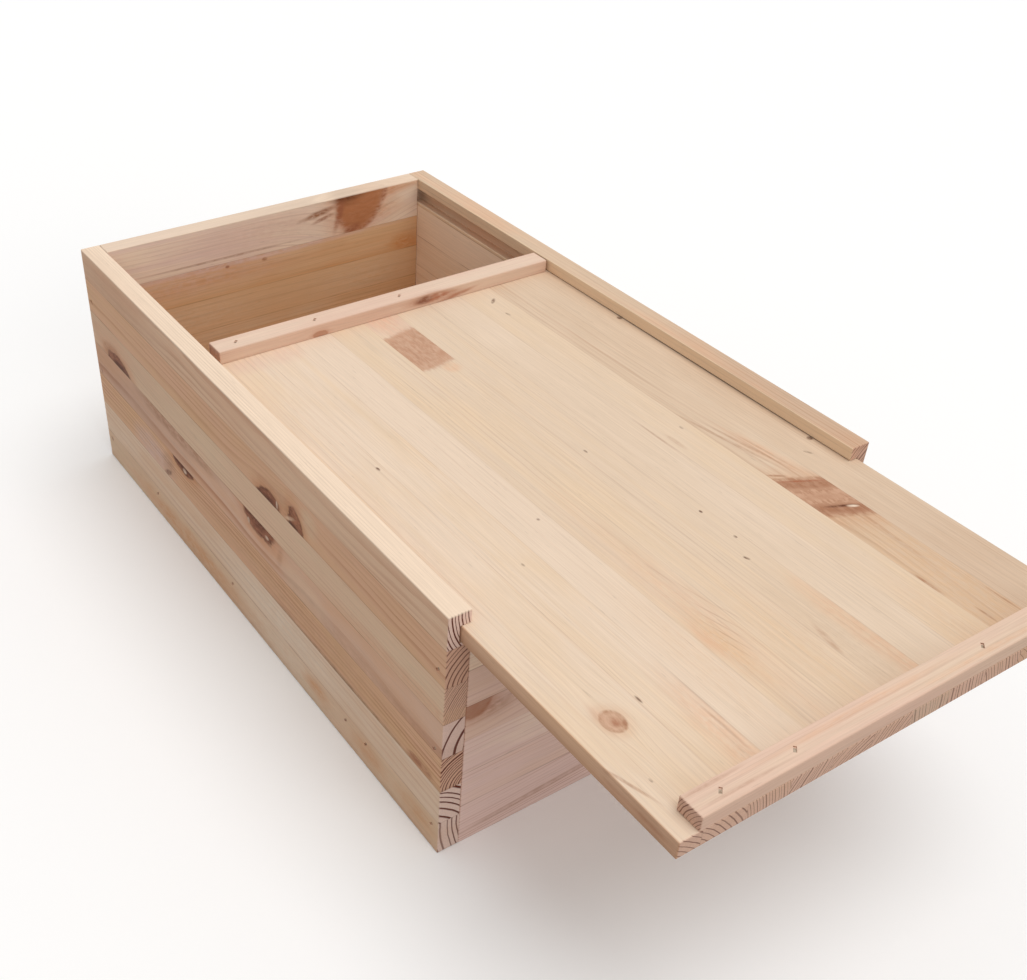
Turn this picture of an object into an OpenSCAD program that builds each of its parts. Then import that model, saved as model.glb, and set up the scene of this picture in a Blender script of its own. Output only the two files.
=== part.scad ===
// Sliding lid box of bare pine.
// Four walls and an inset bottom, each a panel glued up from narrow strips. The two sides run
// the full length and carry a groove each; the front board is lower, so that the lid slides
// out over it. A batten and a handle bar lie across the lid's two ends, between the lips.
// The origin is the centre of the box's footprint: +X right, +Y to the back, +Z up.

/* [Box] */
// Length of the box, front to back
box_l = 400; // [340:10:480]
// Width of the box over the side boards
box_w = 250; // [230:10:300]
// Height of the walls
box_h = 150; // [130:1:190]
// Thickness of the walls and of the bottom
board_t = 12; // [10:0.5:14]
// Height of the bottom board's underside above the base
bottom_rise = 10; // [6:1:14]

/* [Grooves] */
// Height of the lip that is left above each groove
lip_h = 7; // [5:0.5:8]
// Height of each groove
groove_h = 9.5; // [8:0.5:12]
// Depth of each groove into the side board
groove_depth = 6; // [4:0.5:7]

/* [Lid] */
// How far the lid is drawn out of the closed position
lid_out = 132; // [0:1:200]
// Play between the lid and its groove, above it and below it
lid_play = 0.25; // [0.15:0.05:0.5]
// Gap between each edge of the lid and the groove's wall
lid_edge_gap = 0.8; // [0.4:0.1:1.5]
// Gap between the closed lid's rear edge and the back board
lid_end_gap = 1; // [0.5:0.5:3]
// Depth of the rear batten, front to back
batten_d = 13; // [10:0.5:18]
// Depth of the handle bar, front to back
handle_d = 12; // [10:0.5:18]
// Height of the batten and of the handle bar
bar_h = 7.5; // [6:0.5:8]
// Gap between the left end of these bars and the lip beside it
bar_left_gap = 4; // [1:0.5:5]
// Gap between their right end and the lip on that side
bar_right_gap = 1.5; // [1:0.5:5]

/* [Glued strips] */
// Width of a full strip
strip_w = 22; // [20:1:26]
// Height of the top strip of the front board
front_first = 19; // [10:1:22]
// Height of the top strip of the back board
back_first = 26; // [16:1:28]
// Width of the lid's strip at the left edge
lid_first = 11.2; // [8:0.1:22]
// Width of the bottom board's strip at the left edge
bottom_first = 25; // [12:1:28]
// Wood that the top strip of a side leaves below the groove
groove_floor_t = 2; // [1:0.5:4]

/* [Brads] */
// Thickness of a brad's square wire
brad_wire = 1.2; // [0.9:0.1:1.4]
// Width of a brad's head, which is as thick as the wire one way
brad_head = 2; // [1.6:0.1:2.4]
// Length of the brads in the walls
wall_brad_l = 30; // [25:1:34]
// Length of the brads in the lid's two bars
bar_brad_l = 14; // [10:0.5:15]
// Slant of the brads' heads against the edge of the board
brad_slant = 45; // [0:5:90]

/* [Hidden] */
// Heights of the corner brads, and the bottom brads' distances from the front end
CORNER_BRAD_Z = [16, 68, 117];
BOTTOM_BRAD_Y = [66, 86, 215, 320];
// Places of the brads along X: front and back boards, batten, handle bar
END_BRAD_X = [-33, 33];
BATTEN_BRAD_X = [-96, -47, 9];
HANDLE_BRAD_X = [-95, -58, 48, 97];

// A brad is driven below the surface, and leaves a slit a little longer than its head
BRAD_SET = 0.6;
BRAD_HEAD_T = 0.6;
SLIT_L = 3.2;
SLIT_W = 1.4;
// Reach of a cut past the face that it opens
PAST = 1;

half_w = box_w / 2;
half_l = box_l / 2;
inner_w = half_w - board_t;
inner_l = half_l - board_t;
groove_z = box_h - lip_h - groove_h;
side_first = lip_h + groove_h + groove_floor_t;
bottom_brad_z = bottom_rise + board_t / 2;

lid_half_w = inner_w + groove_depth - lid_edge_gap;
lid_l = box_l - board_t - lid_end_gap;
lid_front = -half_l - lid_out;
lid_rear = lid_front + lid_l;
lid_z = groove_z + lid_play;
lid_top = groove_z + groove_h - lid_play;

// Distances of a panel's glue joints from its first edge, with both edges. A rest narrower
// than a third of a strip is left on its neighbour.
function glue_joints(span, first) =
    concat([0], [for (d = first; d < span - strip_w / 3; d = d + strip_w) d], [span]);

side_joints = glue_joints(box_h, side_first);
front_joints = glue_joints(groove_z, front_first);
back_joints = glue_joints(box_h, back_first);
bottom_joints = glue_joints(2 * inner_w, bottom_first);
lid_joints = glue_joints(2 * lid_half_w, lid_first);

function strip_names(name, joints) = [for (i = [1 : len(joints) - 1]) str(name, "_strip_", i)];

// Pale tints of planed pine, taken in turn
PINE = ["#ead2ae", "#e4c79f", "#eed9b8", "#dfc198", "#e8cca6"];
INSIDE_PINE = ["#c99a68", "#bd8c5c", "#d0a272"];
STEEL = "#9a9a96";

function tint(palette, i) = palette[i % len(palette)];

// A block between two opposite corners
module block(low, high) {
    translate(low) cube(high - low);
}

// Everything the brad fills, driven down from the origin along -Z, with its head along X
module brad(length) {
    translate([0, 0, -BRAD_SET - BRAD_HEAD_T / 2])
        cube([brad_head, brad_wire, BRAD_HEAD_T], center = true);
    translate([0, 0, -BRAD_SET - length / 2])
        cube([brad_wire, brad_wire, length], center = true);
}

// The brad's hole: the brad itself, and the open slit above its head
module brad_hole(length) {
    brad(length);
    translate([-SLIT_L / 2, -SLIT_W / 2, -BRAD_SET])
        cube([SLIT_L, SLIT_W, BRAD_SET + PAST]);
}

// Turns a brad from -Z so that it is driven through the left side board towards +X
module into_left_side(y, z) {
    translate([-half_w, y, z]) rotate([0, -90, 0]) rotate(-brad_slant) children();
}

// The brads of the left side: three into the front board and three into the back board
module at_left_corners(y) {
    for (z = CORNER_BRAD_Z) into_left_side(y, z) children();
}

module at_left_bottom() {
    for (y = BOTTOM_BRAD_Y) into_left_side(y - half_l, bottom_brad_z) children();
}

module at_front_bottom() {
    for (x = END_BRAD_X)
        translate([x, -half_l, bottom_brad_z]) rotate([90, 0, 0]) rotate(brad_slant) children();
}

module at_batten() {
    for (x = BATTEN_BRAD_X)
        translate([x, lid_rear - batten_d / 2, lid_top + bar_h]) rotate(brad_slant) children();
}

module at_handle_bar() {
    for (x = HANDLE_BRAD_X)
        translate([x, lid_front + handle_d / 2, lid_top + bar_h]) rotate(brad_slant) children();
}

// What is drawn for one side or end, and its mirror image
module both_sides() {
    children();
    mirror([1, 0, 0]) children();
}

module both_ends() {
    children();
    mirror([0, 1, 0]) children();
}

module side_brad_holes() {
    both_ends() at_left_corners(-half_l + board_t / 2) brad_hole(wall_brad_l);
    at_left_bottom() brad_hole(wall_brad_l);
}

module end_brad_holes() {
    both_sides() at_left_corners(-half_l + board_t / 2) brad_hole(wall_brad_l);
    at_front_bottom() brad_hole(wall_brad_l);
}

module lid_groove() {
    block([-inner_w - groove_depth, -half_l - PAST, groove_z],
          [-inner_w + PAST, half_l + PAST, groove_z + groove_h]);
}

// A strip of the left side board, counted from the top; the first one holds the groove
module side_strip(i) {
    difference() {
        block([-half_w, -half_l, box_h - side_joints[i]],
              [-inner_w, half_l, box_h - side_joints[i - 1]]);
        if (i == 1) lid_groove();
        side_brad_holes();
    }
}

module left_side_strip(i) {
    color(tint(PINE, i)) side_strip(i);
}

module right_side_strip(i) {
    color(tint(PINE, i + 2)) mirror([1, 0, 0]) side_strip(i);
}

// A strip of an end board that stands between the sides, at the front of the box
module end_strip(top, joints, i) {
    difference() {
        block([-inner_w, -half_l, top - joints[i]], [inner_w, -inner_l, top - joints[i - 1]]);
        end_brad_holes();
    }
}

module front_board_strip(i) {
    color(tint(PINE, i + 1)) end_strip(groove_z, front_joints, i);
}

module back_board_strip(i) {
    color(tint(INSIDE_PINE, i)) mirror([0, 1, 0]) end_strip(box_h, back_joints, i);
}

// A strip of the bottom board, counted from the left
module bottom_board_strip(i) {
    color(tint(INSIDE_PINE, i)) difference() {
        block([bottom_joints[i - 1] - inner_w, -inner_l, bottom_rise],
              [bottom_joints[i] - inner_w, inner_l, bottom_rise + board_t]);
        both_sides() at_left_bottom() brad_hole(wall_brad_l);
        both_ends() at_front_bottom() brad_hole(wall_brad_l);
    }
}

// A strip of the lid, counted from the left
module lid_panel_strip(i) {
    color(tint(PINE, i)) difference() {
        block([lid_joints[i - 1] - lid_half_w, lid_front, lid_z],
              [lid_joints[i] - lid_half_w, lid_rear, lid_top]);
        at_batten() brad_hole(bar_brad_l);
        at_handle_bar() brad_hole(bar_brad_l);
    }
}

// A bar across the lid between the lips, with its front face at y
module lid_bar(y, depth) {
    block([-inner_w + bar_left_gap, y, lid_top],
          [inner_w - bar_right_gap, y + depth, lid_top + bar_h]);
}

module lid_batten() {
    color("#ecd6b4") difference() {
        lid_bar(lid_rear - batten_d, batten_d);
        at_batten() brad_hole(bar_brad_l);
    }
}

module lid_handle_bar() {
    color("#ecd6b4") difference() {
        lid_bar(lid_front, handle_d);
        at_handle_bar() brad_hole(bar_brad_l);
    }
}

module front_corner_brads() {
    color(STEEL) both_sides() at_left_corners(-half_l + board_t / 2) brad(wall_brad_l);
}

module back_corner_brads() {
    color(STEEL) mirror([0, 1, 0]) both_sides()
        at_left_corners(-half_l + board_t / 2) brad(wall_brad_l);
}

module bottom_side_brads() {
    color(STEEL) both_sides() at_left_bottom() brad(wall_brad_l);
}

module bottom_end_brads() {
    color(STEEL) both_ends() at_front_bottom() brad(wall_brad_l);
}

module batten_brads() {
    color(STEEL) at_batten() brad(bar_brad_l);
}

module handle_bar_brads() {
    color(STEEL) at_handle_bar() brad(bar_brad_l);
}

for (i = [1 : len(side_joints) - 1]) {
    left_side_strip(i);
    right_side_strip(i);
}
for (i = [1 : len(front_joints) - 1])
    front_board_strip(i);
for (i = [1 : len(back_joints) - 1])
    back_board_strip(i);
for (i = [1 : len(bottom_joints) - 1])
    bottom_board_strip(i);
for (i = [1 : len(lid_joints) - 1])
    lid_panel_strip(i);
lid_batten();
lid_handle_bar();
front_corner_brads();
back_corner_brads();
bottom_side_brads();
bottom_end_brads();
batten_brads();
handle_bar_brads();
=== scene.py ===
# Looks of a sliding lid box of bare pine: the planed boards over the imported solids, their
# wood and steel, the stage and the camera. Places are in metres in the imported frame, and a
# wood pattern's are in millimetres: along the board's grain, to the side, and up.
import math

import bpy
from mathutils import Matrix, Vector


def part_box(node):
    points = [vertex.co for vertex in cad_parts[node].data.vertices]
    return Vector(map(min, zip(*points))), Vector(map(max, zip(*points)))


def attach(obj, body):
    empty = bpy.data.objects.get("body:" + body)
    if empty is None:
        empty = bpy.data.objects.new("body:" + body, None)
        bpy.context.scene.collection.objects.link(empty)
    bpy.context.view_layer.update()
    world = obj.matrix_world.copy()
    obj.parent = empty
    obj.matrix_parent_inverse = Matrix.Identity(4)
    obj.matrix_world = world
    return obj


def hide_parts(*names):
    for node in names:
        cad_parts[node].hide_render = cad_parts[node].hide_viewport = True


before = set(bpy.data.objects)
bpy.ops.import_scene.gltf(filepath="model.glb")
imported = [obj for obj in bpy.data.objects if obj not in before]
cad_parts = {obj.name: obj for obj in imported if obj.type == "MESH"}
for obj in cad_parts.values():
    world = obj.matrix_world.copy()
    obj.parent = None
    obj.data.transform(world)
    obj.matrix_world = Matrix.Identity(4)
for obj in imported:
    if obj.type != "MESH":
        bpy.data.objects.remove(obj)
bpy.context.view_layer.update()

bl_info = {
    "name": "Sliding lid pine box",
    "version": (1, 0, 0),
    "blender": (4, 5, 0),
    "location": "View3D > Sidebar > Pine box",
    "description": "Finishes the boards of a sliding lid box and sets its stage",
    "category": "Object",
}

MM = 0.001

# How near a point on a face is to it, how near merged points are, and how flat one face is
SLACK = 0.01 * MM
MERGE = 0.001 * MM
FLAT = math.radians(0.5)

# Where the two lights stand, seen from the box
CEILING_TOWARDS = (0.15, -0.20, 0.97)
WINDOW_TOWARDS = (0.10, -0.95, 0.30)
SKY_COLOUR = (1.0, 0.99, 0.975)
BACKDROP_COLOUR = (1.0, 1.0, 1.0)

# The photo's camera, fitted to the box's corners. Its place and reach are in metres, the three
# turns in degrees, the shift in picture widths and the sensor's width in millimetres.
CAMERA_PLACE = (-0.35203, -0.51226, 0.48906)
CAMERA_HEADING = -33.860
CAMERA_DIP = 38.977
CAMERA_ROLL = 1.468
CAMERA_SHIFT = (0.0968, 0.0742)
CAMERA_SENSOR = 36.0
CAMERA_REACH = (0.01, 200.0)

# What multiplies the wood's colour in a glue line, and the steel's spots in a metre
GLUE_STAIN = (0.36, 0.21, 0.13)
STEEL_SPOTS = 900
# What keeps one strip's noise apart from the next one's
SEED_STEP = 7.3
BAR_SEED = 503.0
BAR_SEED_STEP = 31


def linear(red, green, blue):
    """Scene values of a colour that is given by its display values, 0 to 255."""
    return tuple(
        c / 12.92 if c <= 0.04045 else ((c + 0.055) / 1.055) ** 2.4
        for c in (red / 255, green / 255, blue / 255)
    )


def colour(name, description, *display):
    return bpy.props.FloatVectorProperty(
        name=name,
        description=description,
        default=linear(*display),
        subtype="COLOR",
        size=3,
        min=0.0,
        max=1.0,
    )


def length(name, description, metres):
    return bpy.props.FloatProperty(
        name=name, description=description, default=metres, unit="LENGTH", subtype="DISTANCE"
    )


def strength(name, description, default):
    return bpy.props.FloatProperty(name=name, description=description, default=default, min=0.0)


class PineBoxWood(bpy.types.PropertyGroup):
    """Colours of the pine and the finish of its planed boards."""

    cream: colour("Cream", "Palest sapwood, on the walls' top edges", 245, 222, 198)
    biscuit: colour("Biscuit", "Sapwood of the lid", 234, 211, 188)
    sand: colour("Sand", "Duller sapwood of the lid", 228, 204, 179)
    dune: colour("Dune", "Dullest sapwood of the lid", 219, 192, 165)
    # Straw is also laid as painted light on the inner faces of the right side and the back board
    straw: colour("Straw", "Yellowish sapwood", 232, 204, 172)
    oat: colour("Oat", "Paler strips of the outside", 235, 200, 169)
    honey: colour("Honey", "Warm wood inside the box", 227, 185, 141)
    rose: colour("Rose", "Pinkish wood", 229, 196, 175)
    blush: colour("Blush", "Pinker wood of the front and of the bars", 231, 200, 189)
    tan: colour("Tan", "Browner strips of the outside", 229, 184, 150)
    # Amber is also laid over the lid's left edge, partly as painted shade
    amber: colour("Amber", "Resinous orange patches", 216, 148, 90)
    # Umber is also laid as painted shade: on the left side's back end, the lid's left edge, the bars'
    # fronts and the handle bar's end
    umber: colour("Umber", "Brown wood round a knot", 168, 118, 88)
    late: colour("Late wood", "Stain of a year's dark line on a long face", 196, 146, 112)
    end_early: colour("Wood on ends", "Wood between the lines on an end", 226, 180, 156)
    end_pale: colour("Pale wood on ends", "Pinkish pale wood on an end", 246, 216, 204)
    end_late: colour("Late wood on ends", "Stain of a year's dark line on an end", 104, 46, 30)
    heart: colour("Heart", "Heart of a pale knot", 206, 162, 134)
    knot: colour("Knot", "Heart of a brown knot", 168, 106, 76)
    # Bark also paints shade: the shadow line under the right lip, the flecks at its notches and the
    # handle bar's shaded end
    bark: colour("Bark", "Rim of a knot, and dark flecks", 88, 42, 22)
    edge_ease: length("Edge ease", "Width of the sanded edge of a board", 0.5 * MM)
    relief: length("Relief", "Depth of the grain", 0.06 * MM)


class PineBoxSteel(bpy.types.PropertyGroup):
    """Colours of the brads."""

    bright: colour("Bright", "Bare steel of a brad's head", 186, 168, 148)
    dull: colour("Dull", "Dull spots on the steel", 146, 124, 104)


class PineBoxStage(bpy.types.PropertyGroup):
    """Floor, light and lens."""

    floor: colour("Floor", "Colour of the floor as the camera sees it", 255, 255, 255)
    bounce: colour("Bounce", "Colour of the light that the floor throws back", 172, 168, 168)
    floor_size: length("Floor size", "Width and depth of the floor", 60.0)
    floor_drop: length("Floor drop", "Gap between the box and the floor", 0.05 * MM)
    sky: strength("Sky", "Strength of the even light", 0.58)
    ceiling: strength("Ceiling light", "Strength of the soft light from above", 1.23)
    window: strength("Window light", "Strength of the low soft light from the front", 0.56)
    softness: bpy.props.FloatProperty(
        name="Softness",
        description="Size of the two lights in the sky",
        default=math.radians(45),
        subtype="ANGLE",
    )
    lens: bpy.props.FloatProperty(
        name="Lens", description="Focal length", default=44.356, unit="CAMERA"
    )


def wood():
    return bpy.context.scene.pine_box_wood


def steel():
    return bpy.context.scene.pine_box_steel


def stage():
    return bpy.context.scene.pine_box_stage


class Wiring:
    """Adds shader nodes to a node tree. An input takes a socket or a plain value."""

    def __init__(self, tree):
        self.tree = tree

    def put(self, kind, *inputs, **settings):
        """A new node, its settings set and its inputs filled in their order."""
        node = self.tree.nodes.new(kind)
        for setting, value in settings.items():
            setattr(node, setting, value)
        sockets = [socket for socket in node.inputs if socket.enabled]
        for socket, value in zip(sockets, inputs):
            self.feed(socket, value)
        return node

    def feed(self, socket, value):
        if value is None:
            return
        if isinstance(value, bpy.types.NodeSocket):
            self.tree.links.new(value, socket)
        elif socket.type == "RGBA":
            socket.default_value = (*value, 1.0)
        else:
            socket.default_value = value

    def first(self, kind, *inputs, **settings):
        """The first output in use of a new node."""
        node = self.put(kind, *inputs, **settings)
        return next(socket for socket in node.outputs if socket.enabled)

    def maths(self, operation, *inputs):
        return self.first("ShaderNodeMath", *inputs, operation=operation)

    def vector(self, operation, *inputs):
        return self.first("ShaderNodeVectorMath", *inputs, operation=operation)

    def scaled(self, vector, *factors):
        return self.vector("MULTIPLY", vector, factors)

    def size(self, vector):
        node = self.put("ShaderNodeVectorMath", vector, operation="LENGTH")
        return node.outputs["Value"]

    def join(self, x, y, z):
        return self.first("ShaderNodeCombineXYZ", x, y, z)

    def split(self, vector):
        return self.put("ShaderNodeSeparateXYZ", vector).outputs

    def step(self, value, low, high, start=0.0, end=1.0):
        """Goes smoothly from start to end as the value goes from low to high."""
        return self.first(
            "ShaderNodeMapRange", value, low, high, start, end, interpolation_type="SMOOTHSTEP"
        )

    def spread(self, value, start, end):
        """Stretches 0 to 1 over another span."""
        return self.first("ShaderNodeMapRange", value, 0.0, 1.0, start, end)

    def noise(self, vector, detail=2.0, roughness=0.5):
        """Smooth noise from 0 to 1, about one wave for each unit of the vector."""
        node = self.put("ShaderNodeTexNoise", vector)
        node.inputs["Scale"].default_value = 1.0
        node.inputs["Detail"].default_value = detail
        node.inputs["Roughness"].default_value = roughness
        return node.outputs["Fac"]

    def group(self, make, *inputs):
        """The outputs of a node group, which is made the first time it is asked for."""
        name = make.__name__.removeprefix("make_").replace("_", " ").capitalize()
        if name not in bpy.data.node_groups:
            make(name)
        return self.put("ShaderNodeGroup", *inputs, node_tree=bpy.data.node_groups[name]).outputs

    def mix(self, factor, first, second, blend_type="MIX"):
        return self.first(
            "ShaderNodeMix", factor, first, second, data_type="RGBA", blend_type=blend_type
        )

    def background_rays(self):
        """1 for the rays that show the background straight, in gloss or through glass."""
        ray = self.put("ShaderNodeLightPath").outputs
        straight = self.maths("MAXIMUM", ray["Is Camera Ray"], ray["Is Glossy Ray"])
        return self.maths("MAXIMUM", straight, ray["Is Transmission Ray"])


def new_group(name, inputs, outputs):
    """A node group with its sockets, and the wiring, input and output nodes to fill it."""
    kinds = {"value": "NodeSocketFloat", "vector": "NodeSocketVector", "colour": "NodeSocketColor"}
    tree = bpy.data.node_groups.new(name, "ShaderNodeTree")
    for in_out, sockets in (("INPUT", inputs), ("OUTPUT", outputs)):
        for socket, kind in sockets.items():
            tree.interface.new_socket(name=socket, in_out=in_out, socket_type=kinds[kind])
    wiring = Wiring(tree)
    return wiring, wiring.put("NodeGroupInput").outputs, wiring.put("NodeGroupOutput").inputs


def make_spot_reach(name):
    """How far a point is from a spot's middle, 1 at the spot's ragged rim, and its mottling."""
    w, given, out = new_group(
        name,
        {
            "Place": "vector", "Middle": "vector", "Size": "vector", "Turn": "vector",
            "Ragged": "value",
        },
        {"Reach": "value", "Mottle": "value"},
    )
    offset = w.vector("SUBTRACT", given["Place"], given["Middle"])
    turned = w.first(
        "ShaderNodeVectorRotate", offset, (0, 0, 0), given["Turn"], rotation_type="EULER_XYZ"
    )
    rel = w.vector("DIVIDE", turned, given["Size"])
    mottle = w.noise(w.scaled(given["Place"], 0.16, 0.42, 0.42), 3.5, 0.65)
    coarse = w.noise(w.scaled(given["Place"], 0.07, 0.16, 0.16), 2.0)
    uneven = w.maths("ADD", w.spread(mottle, -1.1, 1.1), w.spread(coarse, -0.7, 0.7))
    rough = w.maths("MULTIPLY", uneven, given["Ragged"])
    w.feed(out["Reach"], w.maths("ADD", w.size(rel), rough))
    w.feed(out["Mottle"], w.step(mottle, 0.36, 0.64))


def make_bent_grain(name):
    """Moves the places near a knot towards its middle, so that the grain swells round it."""
    w, given, out = new_group(
        name,
        {"Place": "vector", "Middle": "vector", "Size": "vector", "Bend": "value"},
        {"Place": "vector"},
    )
    offset = w.vector("SUBTRACT", given["Place"], given["Middle"])
    rel = w.vector("DIVIDE", offset, given["Size"])
    wide = w.size(w.scaled(rel, 0.42, 0.62, 0.62))
    fade = w.maths("EXPONENT", w.maths("MULTIPLY", w.maths("MULTIPLY", wide, wide), -1.0))
    squeeze = w.maths("SUBTRACT", 1.0, w.maths("MULTIPLY", fade, given["Bend"]))
    bent = w.vector("MULTIPLY", offset, w.join(1.0, squeeze, squeeze))
    w.feed(out["Place"], w.vector("ADD", given["Middle"], bent))


def make_pine_grain(name):
    """Year rings round a pith that runs along the board, with fibres and soft tints.

    What scales a place for noise is the noise's waves in a millimetre: along, to the side, up.
    """
    w, given, out = new_group(
        name,
        {
            "Place": "vector", "End": "value", "Pith": "vector", "Lean": "vector",
            "Ring": "value", "Wander": "value", "Seed": "value", "Bold": "value",
            "End bold": "value", "Late share": "value", "Early": "colour", "Warm": "colour",
            "Late": "colour", "End early": "colour", "End late": "colour",
        },
        {"Colour": "colour", "Shade": "value", "Height": "value"},
    )
    along = w.split(given["Place"])["X"]
    seeded = w.vector("ADD", given["Place"], w.join(given["Seed"], 0.0, given["Seed"]))

    # The distance from the pith, in years, strays a little and its years are not alike
    lean = w.vector("MULTIPLY", given["Lean"], w.join(along, along, along))
    pith = w.vector("ADD", given["Pith"], lean)
    across = w.vector("MULTIPLY", w.vector("SUBTRACT", given["Place"], pith), (0, 1, 1))
    slow = w.spread(w.noise(w.scaled(seeded, 0.007, 0.022, 0.022)), -1.0, 1.0)
    quick = w.spread(w.noise(w.scaled(seeded, 0.04, 0.16, 0.16), 3.0), -0.16, 0.16)
    strayed = w.maths("MULTIPLY_ADD", w.maths("ADD", slow, quick), given["Wander"], w.size(across))
    years = w.maths("DIVIDE", strayed, given["Ring"])
    uneven = w.put("ShaderNodeTexNoise", noise_dimensions="1D")
    w.feed(uneven.inputs["W"], w.maths("MULTIPLY_ADD", years, 0.37, given["Seed"]))
    uneven.inputs["Scale"].default_value = 1.0
    years = w.maths("ADD", years, w.spread(uneven.outputs["Fac"], -0.7, 0.7))
    year = w.maths("FLOOR", years)
    season = w.maths("FRACT", years)
    strong = w.put("ShaderNodeTexWhiteNoise", noise_dimensions="1D")
    w.feed(strong.inputs["W"], w.maths("ADD", year, given["Seed"]))

    # Late wood darkens slowly through the year and stops sharply
    share = w.maths("MULTIPLY", given["Late share"], w.spread(given["End"], 1.0, 0.6))
    rise_start = w.maths("SUBTRACT", 0.92, share)
    rise = w.step(season, rise_start, w.maths("MULTIPLY_ADD", given["End"], -0.12, 0.93))
    fall = w.step(season, 0.94, 1.0, 1.0, 0.0)
    late = w.maths("MULTIPLY", rise, fall)
    weakest = w.spread(given["End"], 0.4, 0.75)
    late = w.maths("MULTIPLY", late, w.spread(strong.outputs["Value"], weakest, 1.0))
    fading = w.step(w.noise(w.scaled(seeded, 0.008, 0.09, 0.09)), 0.3, 0.7, 0.25, 1.1)
    face_ink = w.maths("MULTIPLY", w.maths("MULTIPLY", late, given["Bold"]), fading)
    end_ink = w.maths("MULTIPLY", late, given["End bold"])
    ink = w.first("ShaderNodeMix", given["End"], face_ink, end_ink, data_type="FLOAT")
    stain = w.mix(given["End"], given["Late"], given["End late"])

    fibre = w.noise(w.scaled(seeded, 0.035, 1.6, 1.6), 4.0, 0.65)
    hair = w.step(w.noise(w.scaled(seeded, 0.012, 0.9, 0.9), 3.0, 0.6), 0.52, 0.74)
    streak = w.noise(w.scaled(seeded, 0.004, 0.17, 0.17), 3.0)
    patch = w.noise(w.scaled(seeded, 0.012, 0.035, 0.035), 3.0, 0.6)
    pores = w.step(w.noise(w.scaled(seeded, 0.11, 1.3, 1.3), 1.0), 0.70, 0.80)
    ends = w.noise(w.scaled(seeded, 1.5, 1.5, 1.5), 3.0, 0.7)

    tinted = w.mix(w.step(patch, 0.40, 0.72, 0.0, 0.6), given["Early"], given["Warm"])
    tinted = w.mix(w.step(streak, 0.42, 0.72, 0.0, 0.45), tinted, given["Warm"])
    tinted = w.mix(w.maths("MULTIPLY", given["End"], 0.75), tinted, given["End early"])
    lined = w.mix(ink, tinted, w.mix(1.0, tinted, stain, "MULTIPLY"))
    shade = w.spread(fibre, 0.82, 1.15)
    shade = w.maths("MULTIPLY", shade, w.spread(pores, 1.0, 0.88))
    shade = w.maths("MULTIPLY", shade, w.spread(hair, 1.01, 0.94))
    dull_end = w.maths("MULTIPLY_ADD", given["End"], w.spread(ends, -0.30, -0.02), 1.0)
    shade = w.maths("MULTIPLY", shade, dull_end)
    w.feed(out["Colour"], w.mix(1.0, lined, w.join(shade, shade, shade), "MULTIPLY"))
    w.feed(out["Shade"], w.maths("MULTIPLY", shade, w.spread(ink, 1.0, 0.6)))
    height = w.maths("MULTIPLY_ADD", pores, -0.5, fibre)
    w.feed(out["Height"], w.maths("MULTIPLY_ADD", late, 0.4, height))


def make_knot_wood(name):
    """Paints a knot over the grain: its rings, its dark rim and the warm wood round it."""
    w, given, out = new_group(
        name,
        {
            "Colour": "colour", "Reach": "value", "Mottle": "value", "Core": "colour",
            "Rim": "colour", "Halo": "colour", "Strength": "value",
        },
        {"Colour": "colour"},
    )
    reach, mottle = given["Reach"], given["Mottle"]
    halo = w.maths("MULTIPLY", w.step(reach, 0.9, 2.0, 0.45, 0.0), w.spread(mottle, 0.6, 1.0))
    warm = w.mix(1.0, given["Colour"], given["Halo"], "MULTIPLY")
    warmed = w.mix(w.maths("MULTIPLY", halo, given["Strength"]), given["Colour"], warm)
    wave = w.maths("SINE", w.maths("MULTIPLY_ADD", reach, 17.0, w.maths("MULTIPLY", mottle, 3.0)))
    dark = w.maths("ADD", w.spread(wave, 0.15, 0.45), w.spread(mottle, -0.1, 0.4))
    core = w.mix(dark, given["Core"], given["Rim"])
    inside = w.maths("MULTIPLY", w.step(reach, 0.84, 1.02, 1.0, 0.0), given["Strength"])
    cored = w.mix(inside, warmed, core)
    rim = w.maths("MULTIPLY", w.step(reach, 0.76, 0.96), w.step(reach, 0.98, 1.14, 1.0, 0.0))
    broken_rim = w.maths("MULTIPLY", rim, w.spread(mottle, 0.25, 1.0))
    rim = w.maths("MULTIPLY", broken_rim, given["Strength"])
    w.feed(out["Colour"], w.mix(rim, cored, given["Rim"]))


def make_tinted_patch(name):
    """Lays a tint over the wood out to a spot's rim, thicker and thinner in places."""
    w, given, out = new_group(
        name,
        {
            "Colour": "colour", "Reach": "value", "Mottle": "value", "Tint": "colour",
            "Shade": "value", "Amount": "value", "Soft": "value", "Mottled": "value",
        },
        {"Colour": "colour"},
    )
    inner = w.maths("SUBTRACT", 1.0, given["Soft"])
    cover = w.step(given["Reach"], inner, w.maths("MULTIPLY_ADD", given["Soft"], 0.5, 1.0), 1.0, 0.0)
    change = w.spread(given["Mottle"], -0.55, 0.15)
    thickness = w.maths("MULTIPLY_ADD", change, given["Mottled"], 1.0)
    amount = w.maths("MULTIPLY", cover, w.maths("MULTIPLY", given["Amount"], thickness))
    shade = given["Shade"]
    tint = w.mix(1.0, given["Tint"], w.join(shade, shade, shade), "MULTIPLY")
    w.feed(out["Colour"], w.mix(amount, given["Colour"], tint))


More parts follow.
